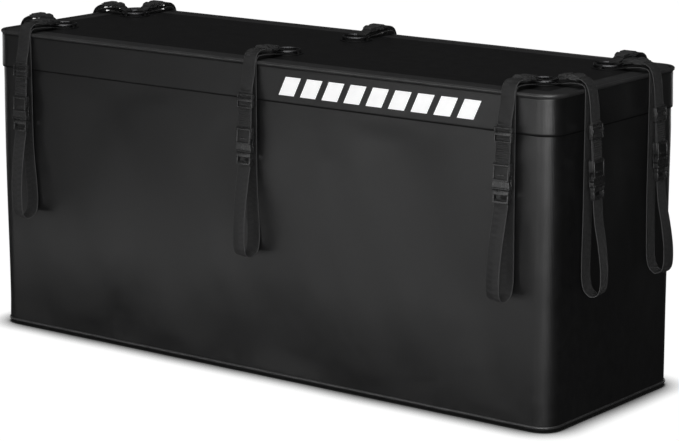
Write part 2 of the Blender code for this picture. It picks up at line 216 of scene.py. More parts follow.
def tarpaulin(name, shade, rough, specular=0.5):
    """Coated tarpaulin: woven scrim showing through a satin coating, cloudy gloss and dust."""
    g = Graph(name)
    where = place_of(g)
    split = g.add("ShaderNodeSeparateXYZ", Vector=where)
    scrim = g.total(*(g.ripple(axis, THREAD_PITCH) for axis in split.outputs))
    clouds = g.noise(where, 3.6, 2.0, 0.45)
    scuffs = g.noise(where, 46.0, 6.0, 0.65)
    grain = g.noise(where, 900.0, 2.0, 0.5)
    normal = g.bump(clouds, 0.42, 0.012)
    normal = g.bump(g.noise(where, 16.0, 2.0, 0.5), 0.06, 0.004, normal)
    normal = g.bump(scrim, 0.10, 0.00025, normal)
    normal = g.bump(grain, 0.12, 0.0003, normal)
    dark = tint(shade, 0.85)
    light = tint(shade, 1.20)
    colour = g.mix(g.remap(scuffs, 0.35, 0.70), dark, light)
    gloss = g.math("ADD", g.remap(clouds, 0.3, 0.7, rough - 0.05, rough + 0.05),
                   g.remap(scuffs, 0.3, 0.8, -0.03, 0.06))
    return g.finish(Base_Color=colour, Roughness=gloss, Normal=normal, Specular_IOR_Level=specular)


def woven(name, shade, edge):
    """Webbing: herringbone rows, slightly fuzzy; the shiny pale selvedges are a painted highlight."""
    g = Graph(name)
    vector, along, across = run_of(g)
    rows = g.math("MULTIPLY", g.ripple(along, 0.0024), g.ripple(across, 0.0032))
    slant = g.ripple(g.total(along, g.math("ABSOLUTE", across)), 0.0030)
    weave = g.total(rows, slant)
    fuzz = g.noise(vector, 700.0, 3.0, 0.6)
    wear_and_highlight = g.noise(vector, 60.0, 4.0, 0.6)
    normal = g.bump(weave, 0.55, 0.0005)
    normal = g.bump(fuzz, 0.25, 0.0004, normal)
    # The edge colour along the selvedges is a painted highlight where the webbing's edges catch the light.
    selvedge_highlight = g.remap(g.math("ABSOLUTE", across), 0.0146, 0.0158, 0.0, 1.0)
    body = g.mix(g.remap(weave, -1.6, 1.6), tint(shade, 0.55), tint(shade, 1.35))
    body = g.mix(g.remap(wear_and_highlight, 0.45, 0.75, 0.0, 0.5), body, tint(shade, 1.8))
    colour = g.mix(selvedge_highlight, body, edge)
    rough = g.remap(weave, -1.6, 1.6, 0.66, 0.46)
    return g.finish(Base_Color=colour, Roughness=rough, Normal=normal, Sheen_Weight=0.06, Sheen_Roughness=0.4)


def moulded(name, shade, rough):
    """Moulded nylon: fine spark-eroded grain, flow marks, and sharp edges painted paler, partly rubbing wear
    and partly a painted highlight.
    """
    g = Graph(name)
    where = place_of(g)
    grain = g.noise(where, 1800.0, 3.0, 0.6)
    flow = g.noise(where, 120.0, 3.0, 0.5)
    # Sharp edges painted paler: a painted highlight along the edges, with some rubbing wear.
    wear_and_highlight = g.remap(g.add("ShaderNodeNewGeometry").outputs["Pointiness"], 0.50, 0.60, 0.0, 0.6)
    colour = g.mix(wear_and_highlight, g.mix(g.remap(flow, 0.3, 0.7), tint(shade, 0.8),
                               tint(shade, 1.2)), tint(shade, 3.0))
    normal = g.bump(grain, 0.30, 0.0002)
    gloss = g.remap(flow, 0.3, 0.7, rough - 0.06, rough + 0.08)
    return g.finish(Base_Color=colour, Roughness=gloss, Normal=normal)


def plated(name, shade, rough):
    """Plated wire: brushed round the section, with faint tarnish."""
    g = Graph(name)
    where = place_of(g)
    tarnish = g.noise(where, 240.0, 5.0, 0.6)
    scratches = g.noise(where, 1600.0, 2.0, 0.5)
    colour = g.mix(g.remap(tarnish, 0.35, 0.75), shade, tint(shade, 0.6))
    gloss = g.remap(tarnish, 0.3, 0.8, rough - 0.06, rough + 0.12)
    return g.finish(Base_Color=colour, Metallic=1.0, Roughness=gloss, Normal=g.bump(scratches, 0.15, 0.0001))


def zip_cloth(name):
    """Twill tape of the zip."""
    g = Graph(name)
    where = place_of(g)
    split = g.add("ShaderNodeSeparateXYZ", Vector=where)
    twill = g.ripple(g.total(*split.outputs), 0.0012)
    colour = g.mix(g.remap(twill, -1.0, 1.0), (0.006, 0.006, 0.007), (0.020, 0.020, 0.021))
    return g.finish(Base_Color=colour, Roughness=g.remap(g.noise(where, 90.0), 0.3, 0.7, 0.70, 0.85),
                    Normal=g.bump(twill, 0.4, 0.0003))


def reflective(name):
    """Pale retro-reflective print: tiny glass beads over a white ground, with a faint painted glow."""
    g = Graph(name)
    where = place_of(g)
    beads = g.add("ShaderNodeTexVoronoi", Vector=where)
    beads.inputs["Scale"].default_value = 1400.0
    dirt = g.noise(where, 60.0, 4.0, 0.6)
    colour = g.mix(g.remap(dirt, 0.4, 0.8), (0.92, 0.92, 0.92), (0.80, 0.80, 0.81))
    # The emission is a painted glow: the print shines a little though it is no lamp.
    return g.finish(Base_Color=colour, Roughness=g.remap(dirt, 0.3, 0.7, 0.42, 0.55),
                    Normal=g.bump(beads.outputs["Distance"], 0.15, 0.0002),
                    Emission_Color=(1.0, 1.0, 1.0), Emission_Strength=0.25)


TARP = tarpaulin("tarpaulin_walls", (0.0062, 0.0062, 0.0064), 0.40)
TARP_TOP = tarpaulin("tarpaulin_lid", (0.0112, 0.0112, 0.0115), 0.50, specular=0.25)
# The piping and the base's welt are painted about five times lighter than the walls: a painted highlight along
# both beads.
PIPING = tarpaulin("tarpaulin_piping_lit", (0.0310, 0.0310, 0.0314), 0.38, specular=0.9)
# The lid's border is painted about three times lighter than its panel: a painted highlight where the border
# slopes towards the light.
LIT_BAND = tarpaulin("tarpaulin_band_lit", (0.0340, 0.0340, 0.0345), 0.46)
# A darker copy of the tarpaulin for the skirt's lowest strip: a painted shadow under its edge.
HEM_SHADOW = tarpaulin("tarpaulin_hem_shadow", (0.0030, 0.0030, 0.0031), 0.60, specular=0.2)
# The second colour of each webbing is the painted highlight along its selvedges.
WEBBING = woven("webbing_weave", (0.0115, 0.0115, 0.0118), (0.062, 0.062, 0.063))
# The sewn overlap on the lid is the same webbing painted lighter: a painted lit copy.
SEWN_LIT = woven("webbing_sewn_lit", (0.0260, 0.0260, 0.0264), (0.085, 0.085, 0.086))
PLASTIC = moulded("moulded_nylon", (0.0110, 0.0110, 0.0112), 0.27)
STEEL = plated("plated_ring", (0.15, 0.15, 0.155), 0.42)
# A darker copy of the nylon for the plate inside the socket's frame: painted shade.
RECESS_SHADE = moulded("moulded_recess_shade", (0.0035, 0.0035, 0.0036), 0.60)
ZIP_TAPE = zip_cloth("zip_tape_cloth")
ZIP_TEETH = moulded("zip_teeth_nylon", (0.020, 0.020, 0.021), 0.30)
PRINT = reflective("reflective_print")


# ---- Mesh helpers ----------------------------------------------------------------------------
def add_object(name, data):
    item = bpy.data.objects.new(name, data)
    bpy.context.scene.collection.objects.link(item)
    return item


def make(name, points, faces, surface, body=None, slot=None, smooth=True, sharp=40.0):
    mesh = bpy.data.meshes.new(name)
    mesh.from_pydata([tuple(p) for p in points], [], faces)
    shell = bmesh.new()
    shell.from_mesh(mesh)
    bmesh.ops.remove_doubles(shell, verts=shell.verts, dist=1e-6)
    bmesh.ops.recalc_face_normals(shell, faces=shell.faces)
    shell.to_mesh(mesh)
    shell.free()
    if smooth:
        mesh.shade_smooth()
        mesh.set_sharp_from_angle(angle=math.radians(sharp))
    mesh.materials.append(surface)
    piece = add_object(name, mesh)
    if body:
        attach(piece, body)
    return piece


def loft(sections, closed_path=False, caps=True):
    """Faces that join equal loops of points in order."""
    count = len(sections[0])
    faces = []
    total = len(sections)
    for i in range(total if closed_path else total - 1):
        j = (i + 1) % total
        for k in range(count):
            n = (k + 1) % count
            faces.append((i * count + k, i * count + n, j * count + n, j * count + k))
    if caps and not closed_path:
        faces.append(tuple(range(count)))
        faces.append(tuple((total - 1) * count + k for k in range(count)))
    return [p for section in sections for p in section], faces


def solidify(piece, thickness):
    skin = piece.modifiers.new("thickness", "SOLIDIFY")
    skin.thickness = thickness
    skin.offset = -1.0
    skin.use_even_offset = True


def outline(spacing=0.012, corner_steps=14):
    """Points round the bag's plan: (x, y, outward x, outward y)."""
    corners = ((HALF_X - CORNER, -(HALF_Y - CORNER), -90), (HALF_X - CORNER, HALF_Y - CORNER, 0),
               (-(HALF_X - CORNER), HALF_Y - CORNER, 90), (-(HALF_X - CORNER), -(HALF_Y - CORNER), 180))
    points = []
    for k, (cx, cy, turn) in enumerate(corners):
        for step in range(corner_steps + 1):
            a = math.radians(turn + 90 * step / corner_steps)
            points.append((cx + CORNER * math.cos(a), cy + CORNER * math.sin(a), math.cos(a), math.sin(a)))
        nx, ny, next_turn = corners[(k + 1) % 4]
        a = math.radians(next_turn)
        end = (nx + CORNER * math.cos(a), ny + CORNER * math.sin(a))
        start = points[-1]
        count = max(2, round(math.dist(start[:2], end) / spacing))
        for step in range(1, count):
            t = step / count
            points.append((start[0] + (end[0] - start[0]) * t, start[1] + (end[1] - start[1]) * t,
                           math.cos(a), math.sin(a)))
    return points


OUTLINE = outline()


def waves(x, y, z, table):
    """Sum of plane waves; table lists (amplitude, per metre in x, y, z, phase)."""
    return sum(a * math.sin(2 * math.pi * (fx * x + fy * y + fz * z) + p) for a, fx, fy, fz, p in table)


TUB_WAVES = ((0.0016, 1.3, 1.9, 1.5, 0.4), (0.0012, 2.5, 3.1, -1.4, 2.1), (0.0006, 3.9, 2.2, 2.3, 4.0),
             (0.00030, 5.3, 6.1, -3.7, 1.2), (0.00012, 8.9, 8.2, 4.3, 5.5))
SKIRT_WAVES = ((0.0005, 2.1, 3.3, 0.0, 1.0), (0.0004, 4.7, 5.9, 0.0, 3.1), (0.0003, 9.1, 8.3, 0.0, 0.2))
TOP_WAVES = ((0.0008, 1.3, 2.1, 0.0, 0.7), (0.0006, 2.9, 3.7, 0.0, 2.9), (0.0004, 6.1, 4.9, 0.0, 4.4))


def smoothstep(low, high, value):
    t = min(1.0, max(0.0, (value - low) / (high - low)))
    return t * t * (3 - 2 * t)


def belly(x, y, z):
    """Outward swell of the filled walls: none at the base, the corners and under the skirt."""
    on_long = smoothstep(0, 0.25, HALF_X - CORNER - abs(x)) if abs(y) > HALF_Y - 0.006 else 0.0
    on_end = smoothstep(0, 0.12, HALF_Y - CORNER - abs(y)) if abs(x) > HALF_X - 0.006 else 0.0
    height = smoothstep(0, 0.22, z) * (1 - smoothstep(SKIRT_Z - 0.22, SKIRT_Z - 0.01, z))
    return 0.0042 * max(on_long, on_end) * height


def tub_out(x, y, z):
    """How far the tub's outer face stands from the CAD wall."""
    calm = smoothstep(0.0, 0.06, z) * (1 - smoothstep(SKIRT_Z - 0.05, SKIRT_Z - 0.004, z))
    flat = smoothstep(0.0, 0.10, max(HALF_X - CORNER - abs(x), HALF_Y - CORNER - abs(y)))
    ripple = waves(x, y, z, TUB_WAVES) * calm * (0.35 + 0.65 * flat)
    foot = 0.0006 * math.sin(2 * math.pi * (x * 9.7 + y * 8.1)) * math.exp(-z / 0.025)
    return belly(x, y, z) + ripple + foot * smoothstep(0.004, 0.02, z)


def skirt_out(x, y, z):
    """How far the skirt's outer face stands from the tub's wall, freer towards its lower edge."""
    free = 1 - smoothstep(SKIRT_Z, LID_TOP - 0.02, z)
    return SKIRT_OUT + free * (0.0006 + 0.6 * abs(waves(x, y, z, SKIRT_WAVES)))


def ring_of(offset, z):
    """A loop round the bag; offset is a number or a function of (x, y, z)."""
    loop = []
    for x, y, nx, ny in OUTLINE:
        out = offset(x, y, z) if callable(offset) else offset
        loop.append((x + nx * out, y + ny * out, z))
    return loop


# ---- Tub -------------------------------------------------------------------------------------
def build_tub():
    foot = 0.005
    sections = [ring_of(-foot, 0.0), ring_of(-foot * 0.5, foot * 0.13), ring_of(-foot * 0.13, foot * 0.5)]
    rows = 64
    for k in range(rows + 1):
        z = foot + (RIM_Z - foot) * k / rows
        sections.append(ring_of(tub_out, z))
    points, faces = loft(sections, caps=False)
    faces.append(tuple(range(len(OUTLINE))))
    piece = make("tub_shell", points, faces, TARP, "tub", "tarpaulin")
    solidify(piece, 0.0014)
    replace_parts(piece, "bag_body")


def bead_round(node, out, z, radius, body, sides=12):
    """A welded bead round the bag that stands in for a node, with a slight wander in its line."""
    sections = []
    for x, y, nx, ny in OUTLINE:
        wander = 0.00025 * math.sin(2 * math.pi * (x * 7.3 + y * 5.1))
        loop = []
        for j in range(sides):
            a = 2 * math.pi * j / sides
            o = out + wander + radius * math.cos(a)
            loop.append((x + nx * o, y + ny * o, z + radius * math.sin(a)))
        sections.append(loop)
    points, faces = loft(sections, closed_path=True)
    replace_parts(make(node + "_bead", points, faces, PIPING, body, "tarpaulin"), node)


def panel_height(x, y):
    """Height of the lid's panel: crowned, with a raised border round it and slack between the anchors."""
    inset = min(HALF_X - abs(x), HALF_Y - abs(y))
    rise = CROWN * smoothstep(-0.004, SHOULDER, inset)
    seam = 0.0007 * (1 - smoothstep(BAND_WIDTH - 0.001, BAND_WIDTH + 0.001, inset))
    near = min(math.dist((x, y), (ax, ay)) for _, ax, ay in ANCHORS)
    slack = smoothstep(PATCH_RADIUS, 0.11, near) * smoothstep(0.03, 0.09, inset)
    return RIM_TOP + rise + seam - slack * (0.0012 + waves(x, y, 0, TOP_WAVES))


def build_lid():
    top = []
    depths = (1.0, 0.90, 0.80, 0.70, 0.62, 0.55, 0.49, 0.43, 0.38, 0.34, 0.30, 0.26, 0.23, 0.20, 0.18,
              0.168, 0.158, 0.151, 0.144, 0.135, 0.120, 0.105, 0.094, 0.083, 0.072, 0.060, 0.048, 0.036,
              0.024, 0.012)
    spine = HALF_X - HALF_Y
    for depth in depths:
        loop = []
        for x, y, nx, ny in OUTLINE:
            edge = Vector((x + nx * (SKIRT_OUT - CHAMFER), y + ny * (SKIRT_OUT - CHAMFER)))
            middle = Vector((max(-spine, min(spine, edge.x)), 0.0))
            p = edge.lerp(middle, depth)
            loop.append((p.x, p.y, panel_height(p.x, p.y)))
        top.append(loop)
    for step in range(5):
        a = math.radians(90 - 90 * step / 4)
        top.append(ring_of(SKIRT_OUT - CHAMFER * (1 - math.cos(a)), RIM_TOP - CHAMFER * (1 - math.sin(a))))
    levels = [(RIM_TOP - drop, 0.0)
              for drop in (0.0085, 0.0100, 0.0130, 0.018, 0.025, 0.033, 0.041, 0.049, 0.056, 0.062)]
    levels += [(SKIRT_Z + rise, extra)
               for rise, extra in ((0.0100, 0.0), (0.0060, 0.0), (HEM_HEIGHT, 0.0), (0.0024, -0.0004),
                                   (0.0010, -0.0005), (0.0, -0.0008))]
    for z, extra in levels:
        top.append(ring_of(lambda x, y, h, extra=extra: skirt_out(x, y, h) + extra, z))
    points, faces = loft(top, caps=False)
    piece = make("lid_shell", points, faces, TARP_TOP, "lid", "tarpaulin", sharp=55)
    for surface in (TARP, LIT_BAND, HEM_SHADOW):
        piece.data.materials.append(surface)
    for face in piece.data.polygons:
        x, y, z = face.center
        # The skirt's lowest strip is painted dark: a painted shadow under its edge.
        if z < SKIRT_Z + HEM_HEIGHT:
            face.material_index = 3
        elif z < RIM_TOP - CHAMFER * 0.7:
            face.material_index = 1
        # The border round the panel takes the lighter colour: a painted highlight.
        elif min(HALF_X - abs(x), HALF_Y - abs(y)) < BAND_WIDTH:
            face.material_index = 2
    solidify(piece, 0.0012)
    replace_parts(piece, "lid")


# ---- Zip -------------------------------------------------------------------------------------
def zip_path(out):
    """The zip's run: left end wall, front, right end wall, as outline points offset by out."""
    stop = span("zip_tape_lower")[1].y
    forward = [p for p in OUTLINE if p[1] < stop]
    left = sorted((p for p in forward if p[0] < 0 and p[1] > -(HALF_Y - CORNER)), key=lambda p: -p[1])
    front_left = [p for p in forward if p[0] < 0 and p[1] <= -(HALF_Y - CORNER)]
    front_right = [p for p in forward if p[0] >= 0 and p[1] <= -(HALF_Y - CORNER)]
    right = sorted((p for p in forward if p[0] >= 0 and p[1] > -(HALF_Y - CORNER)), key=lambda p: p[1])
    front = (sorted(front_left, key=lambda p: p[0] - p[1])
             + sorted(front_right, key=lambda p: p[0] + p[1]))
    return [(x + nx * out, y + ny * out, nx, ny) for x, y, nx, ny in left + front + right]


BLOCK_FACES = ((0, 1, 3, 2), (4, 6, 7, 5), (0, 4, 5, 1), (2, 3, 7, 6), (0, 2, 6, 4), (1, 5, 7, 3))


def build_zip_teeth():
    tape = span("zip_tape_lower")
    out = tape[1].x - HALF_X - 0.0006
    chain = zip_path(out)
    for name, body, edge, way in (("zip_teeth_lower", "tub", tape[1].z, -1.0),
                                  ("zip_teeth_upper", "lid", span("zip_tape_upper")[0].z, 1.0)):
        points, faces = [], []
        travelled = 0.0
        pitch = 0.0030
        due = 0.0 if way < 0 else pitch / 2
        for (x0, y0, nx, ny), (x1, y1, _, _) in zip(chain, chain[1:]):
            length = math.dist((x0, y0), (x1, y1))
            tx, ty = (x1 - x0) / length, (y1 - y0) / length
            while due <= travelled + length:
                t = due - travelled
                cx, cy = x0 + tx * t, y0 + ty * t
                base = len(points)
                for along in (-0.0009, 0.0009):
                    for across in (-0.0014, 0.0012):
                        for lift in (0.0003, 0.0030):
                            squeeze = 1.0 if lift > 0.001 else 0.8
                            points.append((cx + tx * along * squeeze + nx * across * squeeze,
                                           cy + ty * along * squeeze + ny * across * squeeze,
                                           edge + way * (lift - 0.0006)))
                faces += [tuple(base + i for i in face) for face in BLOCK_FACES]
                due += pitch
            travelled += length
        make(name, points, faces, ZIP_TEETH, body, "zip", smooth=False)
    for node in ("zip_tape_lower", "zip_tape_upper"):
        assign(node, ZIP_TAPE)
    for node in ("zip_slider_left", "zip_slider_right"):
        assign(node, STEEL)
        round_edges(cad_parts[node], 0.0004)


def assign(node, surface):
    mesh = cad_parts[node].data
    if mesh.materials:
        for k in range(len(mesh.materials)):
            mesh.materials[k] = surface
    else:
        mesh.materials.append(surface)


def round_edges(piece, width, segments=2):
    soft = piece.modifiers.new("edges", "BEVEL")
    soft.width = width
    soft.segments = segments
    soft.limit_method = "ANGLE"
    soft.angle_limit = math.radians(35)


# ---- Anchors ---------------------------------------------------------------------------------
def turned(profile, sides=48):
    """Closed turned solid: profile lists (radius, z) from the axis at the bottom to the axis at the top."""
    sections = []
    for k in range(sides):
        a = 2 * math.pi * k / sides
        sections.append([(r * math.cos(a), r * math.sin(a), z) for r, z in profile])
    count = len(profile)
    points = [p for s in sections for p in s]
    faces = []
    for k in range(sides):
        n = (k + 1) % sides
        for j in range(count - 1):
            faces.append((k * count + j, n * count + j, n * count + j + 1, k * count + j + 1))
    return points, faces


def build_anchors():
    low, high = PATCH_LOW.z, PATCH_LOW.z + PATCH
    radius = PATCH_RADIUS
    profile = [(0, low), (radius - 0.0004, low), (radius, low + 0.0005), (radius - 0.0003, high - 0.0004),
               (radius - 0.0012, high), (radius - 0.0045, high), (radius - 0.0050, high - 0.0005),
               (radius - 0.0060, high - 0.0005), (radius - 0.0065, high), (0, high)]
    for name, x, y in ANCHORS:
        points, faces = turned(profile)
        patch = make("patch_" + name, [(px + x, py + y, pz) for px, py, pz in points], faces, TARP_TOP, "lid",
                     "tarpaulin", sharp=30)
        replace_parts(patch, "anchor_patch_" + name)
        sections = []
        for k in range(64):
            a = 2 * math.pi * k / 64
            sections.append([(x + (RING_RADIUS + RING_SECTION * math.cos(b)) * math.cos(a),
                              y + (RING_RADIUS + RING_SECTION * math.cos(b)) * math.sin(a),
                              RING_Z + RING_SECTION * math.sin(b))
                             for b in (2 * math.pi * j / 14 for j in range(14))])
        points, faces = loft(sections, closed_path=True)
        ring = make("ring_" + name, points, faces, STEEL, "lid", "steel")
        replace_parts(ring, "anchor_ring_" + name)
        side_x = (x > 0.01) - (x < -0.01)
        side_y = 1 if y > 0 else -1
        turns = (0, 180) if side_x == 0 else (90 + 90 * side_x, -90 * side_y)
        for number, turn in enumerate(turns):
            keeper(name + "_%d" % (number + 1), x, y, math.radians(turn), high)


def keeper(name, x, y, turn, base):
    """A welded tab that arches over the ring; its section follows the ring's with a little room."""
    room = RING_SECTION + 0.0005
    skin = 0.0008
    inner, outer = [], []
    for step in range(13):
        a = math.pi * step / 12
        inner.append((room * math.cos(a), max(RING_Z + room * math.sin(a), base)))
        outer.append(((room + skin) * math.cos(a), RING_Z + (room + skin) * math.sin(a)))
    foot = 0.0036
    flange = [(room + foot, base - 0.0002), (room + foot, base + 0.0009),
              (room + skin + 0.0014, base + 0.0014)]
    outer = flange + outer + [(-r, z) for r, z in flange[::-1]]
    inner = [(room, base - 0.0002)] + inner + [(-room, base - 0.0002)]
    section = outer + inner[::-1]
    half = 0.0034
    radial = Vector((math.cos(turn), math.sin(turn), 0))
    across = Vector((-math.sin(turn), math.cos(turn), 0))
    centre = Vector((x, y, 0)) + radial * RING_RADIUS
    sections = []
    for k in range(7):
        t = -half + 2 * half * k / 6
        bend = t * t / (2 * RING_RADIUS)
        pinch = 1.0 - 0.10 * (t / half) ** 4
        sections.append([centre + radial * (r * pinch - bend) + across * t + Vector((0, 0, z))
                         for r, z in section])
    points, faces = loft(sections)
    make("keeper_" + name, points, faces, TARP_TOP, "lid", "tarpaulin", sharp=50)


# ---- Straps ----------------------------------------------------------------------------------
WEB_HALF = 0.016
NECK_HALF = 0.012
WEB = 0.0016
WRAP = 0.0042
LEAN = math.radians(3.20)
STRAND_TOP = (0.0200, 0.604)
BUCKLE_Z = 0.524
BUCKLE_LENGTH = 0.052
BUCKLE_HALF = 0.0195
PLUG_LENGTH = 0.0256
SLOT_DEPTH = 0.008
GLIDE_Z = (span("tri_glide_front_left")[0].z + span("tri_glide_front_left")[1].z) / 2
JOIN_Z = 0.470          # where the loop's inner strand passes from one piece to the next
NECK_START = 0.030
OVERLAP = 0.050         # sewn end of the webbing, doubled on the lid
TAIL_START, TAIL_END = 0.0004, -0.0720   # the doubled tail, below the buckle's upper end
TAIL_STEPS = 89
# Slack where a strap turns over the edge, and how far out its loop swings.
EDGE_BOW = {FRONT: 0.0, BACK: 0.0046, RIGHT: 0.0046, LEFT: 0.0100}
LOOP_OUT = {FRONT: 0.0565, BACK: 0.0565, RIGHT: 0.0490, LEFT: 0.0490}


def strand(below):
    """(out, z) on the straight strand, below metres under the buckle's upper end."""
    out = STRAND_TOP[0] + (STRAND_TOP[1] - BUCKLE_Z) * math.tan(LEAN)
    return Vector((out + below * math.sin(LEAN), BUCKLE_Z - below * math.cos(LEAN)))


def curve_through(points, steps):
    ends = [points[0]] + list(points) + [points[-1]]
    curve = []
    for k in range(1, len(ends) - 2):
        before, here, there, after = (Vector(p) for p in ends[k - 1:k + 3])
        for step in range(steps):
            t = step / steps
            curve.append(0.5 * (2 * here + (there - before) * t
                                + (2 * before - 5 * here + 4 * there - after) * t ** 2
                                + (3 * here - before - 3 * there + after) * t ** 3))
    curve.append(Vector(points[-1]))
    return curve


def even(path, spacing):
    """Resamples a polyline at an even spacing."""
    lengths = [0.0]
    for a, b in zip(path, path[1:]):
        lengths.append(lengths[-1] + (b - a).length)
    count = max(2, round(lengths[-1] / spacing))
    made = []
    k = 0
    for step in range(count + 1):
        want = lengths[-1] * step / count
        while k < len(path) - 2 and lengths[k + 1] < want:
            k += 1
        t = (want - lengths[k]) / max(lengths[k + 1] - lengths[k], 1e-9)
        made.append(path[k].lerp(path[k + 1], min(1.0, t)))
    return made


def strap_path(reach, bow, swing):
    """Middle line of a strap: buckle, over the edge, round the ring, then back down and up to the plug."""
    over = [STRAND_TOP, (0.0132 + bow, 0.630), (0.0102 + 0.9 * bow, 0.651), (0.0055 + 0.45 * bow, 0.6668),
            (-0.0035, 0.6748), (-0.016, 0.6774), (-0.45 * reach, 0.6775), (-0.70 * reach, 0.6764),
            (-0.87 * reach, 0.6733), (-(reach - 0.003), RING_Z + WRAP)]
    fold = -(reach + 0.003)
    wrap = [Vector((fold + WRAP * math.cos(a), RING_Z + WRAP * math.sin(a)))
            for a in (math.radians(90 + 180 * k / 12) for k in range(13))]
    bottom = BUCKLE_LENGTH + PLUG_LENGTH
    back = [(-(reach - 0.004), RING_Z - WRAP), (-0.8 * reach, 0.6622), (-0.4 * reach, 0.6666),
            (-0.008, 0.6672), (0.0022, 0.6640), (0.0064, 0.6560), (0.0070, 0.635), (0.0070, 0.520),
            (0.0070, 0.400), (0.0072, 0.320), (0.0086, 0.288), (0.0140, 0.2685), (0.0235, 0.2605),
            (swing - 0.0215, 0.2585), (swing - 0.0105, 0.2610), (swing - 0.0025, 0.2710), (swing, 0.290),
            (0.97 * swing, 0.322), (0.84 * swing, 0.364), (0.68 * swing, 0.402), strand(bottom + 0.006)]
    lower = curve_through(back, 10) + [strand(bottom - SLOT_DEPTH + 0.0006)]
    return [strand(SLOT_DEPTH - 0.0003)] + curve_through(over, 10) + wrap, lower


def to_world(direction, along):
    """Matrix from a strap's frame (x outward, y sideways, z up) to the world."""
    turn = math.radians(direction)
    half = HALF_X if direction in (LEFT, RIGHT) else HALF_Y
    outward = Vector((round(math.cos(turn)), round(math.sin(turn)), 0))
    sideways = Vector((0, along, 0)) if direction in (LEFT, RIGHT) else Vector((along, 0, 0))
    return Matrix.Translation(outward * half + sideways) @ Matrix.Rotation(turn, 4, "Z")


def band_section(half, thick):
    """Flat section with rounded selvedges, as (across, outward) pairs."""
    r = thick / 2
    loop = []
    for side in (1, -1):
        for step in range(5):
            a = math.radians(90 - 45 * step)
            loop.append((side * (half - r) + side * r * math.cos(a), side * r * math.sin(a)))
        inner = 6
        for step in range(1, inner):
            t = step / inner
            loop.append((side * (half - r) * (1 - 2 * t), -side * r))
    return loop


def walk(path, start=0.0):
    """Each point of a path of (out, z), with its outer side's direction and the distance travelled."""
    travelled = start
    for k, point in enumerate(path):
        behind = path[max(k - 1, 0)]
        along = (path[min(k + 1, len(path) - 1)] - behind).normalized()
        travelled += (point - behind).length
        yield point, Vector((along.y, -along.x)), travelled


def webbing_piece(name, sections, runs, surface, body):
    """Joins the sections, and stores on each point how far it lies along and across the webbing."""
    points, faces = loft(sections)
    piece = make(name, points, faces, surface, body, "webbing", sharp=60)
    store = piece.data.attributes.new("run", "FLOAT_VECTOR", "POINT")
    store.data.foreach_set("vector", [c for r in runs for c in r])
    return piece


def ribbon(name, path, matrix, half_at, drift_at, body=None, lift=None, start=0.0):
    """Webbing along a path of (out, z): half_at(p) is its half width, drift_at(p) its sideways place and
    roll, and lift(travelled) moves it off the path's outer side."""
    sections, runs = [], []
    for point, outer, travelled in walk(path, start):
        sway, roll = drift_at(point)
        raised = lift(travelled) if lift else 0.0
        loop = []
        for across, off in band_section(half_at(point), WEB):
            p = point + outer * (off + raised + math.sin(roll) * across)
            loop.append(matrix @ Vector((p.x, math.cos(roll) * across + sway, p.y)))
            runs.append((travelled, across, 0.0))
        sections.append(loop)
    return webbing_piece(name, sections, runs, WEBBING, body)


def build_strap(name, direction, along, drift):
    matrix = to_world(direction, along)
    on_end = direction in (LEFT, RIGHT)
    half_length = HALF_X if on_end else HALF_Y
    anchor = ANCHOR_X if on_end else ANCHOR_Y
    reach = half_length - anchor - RING_RADIUS
    upper, lower = strap_path(reach, EDGE_BOW[direction], LOOP_OUT[direction])
    sway_sign = {FRONT: 1, BACK: -1, RIGHT: 1, LEFT: -1}[direction]

    def half_at(p):
        if p.y < RING_Z - 2 * WRAP:
            return WEB_HALF
        return WEB_HALF + (NECK_HALF - WEB_HALF) * smoothstep(0.0, 0.020, -p.x - (reach - NECK_START))

    def drift_at(p):
        hang = smoothstep(0.44, 0.27, p.y) if p.y < 0.44 else 0.0
        return sway_sign * drift * hang, 0.10 * hang * (1 if drift > 0 else -1) * smoothstep(0.02, 0.05, p.x)

    inner = even(lower, 0.0035)
    split = next(k for k, p in enumerate(inner) if p.y < JOIN_Z)
    first = even(upper, 0.0035) + inner[1:split + 1]
    second = inner[split:]
    top = ribbon("strap_upper_" + name, first, matrix, half_at, drift_at)
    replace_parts(top, "webbing_" + name)
    loop = ribbon("strap_loop_" + name, second, matrix, half_at, drift_at, start=0.9)
    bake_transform(top)
    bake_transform(loop)
    build_strap_details(name, matrix, reach, upper, half_at, drift_at)
    build_hardware(name, matrix)


def build_strap_details(name, matrix, reach, upper, half_at, drift_at):
    """Sewn overlap with bar tacks on the lid, and the doubled tail between the tri-glide and the buckle."""
    fine = even(upper, 0.0009)
    lid_end = -(reach - 0.011)
    patch = [p for p in fine if p.y > RING_Z + WRAP and lid_end < p.x < lid_end + OVERLAP]

    def ribbed(p):
        t = (p.x - lid_end) / OVERLAP
        place = (t * 2) % 1.0
        block = smoothstep(0.04, 0.16, place) * (1 - smoothstep(0.72, 0.84, place))
        return 0.0001 + 0.0024 * block + 0.0003 * math.cos(2 * math.pi * t * 13)

    for label, side in (("above", 1), ("below", -1)):
        sections, runs = [], []
        for point, outer, travelled in walk(patch):
            loop = []
            for across, off in band_section(half_at(point) - 0.0012, WEB):
                extra = ribbed(point) if off > 0 else 0.0
                p = point + outer * side * (off + WEB + 0.0001 + extra)
                loop.append(matrix @ Vector((p.x, across, p.y)))
                runs.append((travelled, across, 0.0))
            sections.append(loop)
        # The overlap takes the painted lit copy of the webbing.
        webbing_piece("strap_overlap_%s_%s" % (label, name), sections, runs, SEWN_LIT, "lid")

    def creased(run):
        return (WEB + 0.0008 + 0.0005 * math.sin(2 * math.pi * run / 0.0044)
                + 0.0003 * math.sin(2 * math.pi * run / 0.0171))

    tail_step = (TAIL_END - TAIL_START) / TAIL_STEPS
    tail = [strand(TAIL_START + k * tail_step) for k in range(TAIL_STEPS + 1)]
    ribbon("strap_tail_" + name, tail, matrix, lambda p: WEB_HALF - 0.0003, drift_at, "strap_" + name,
           lift=creased, start=0.3)


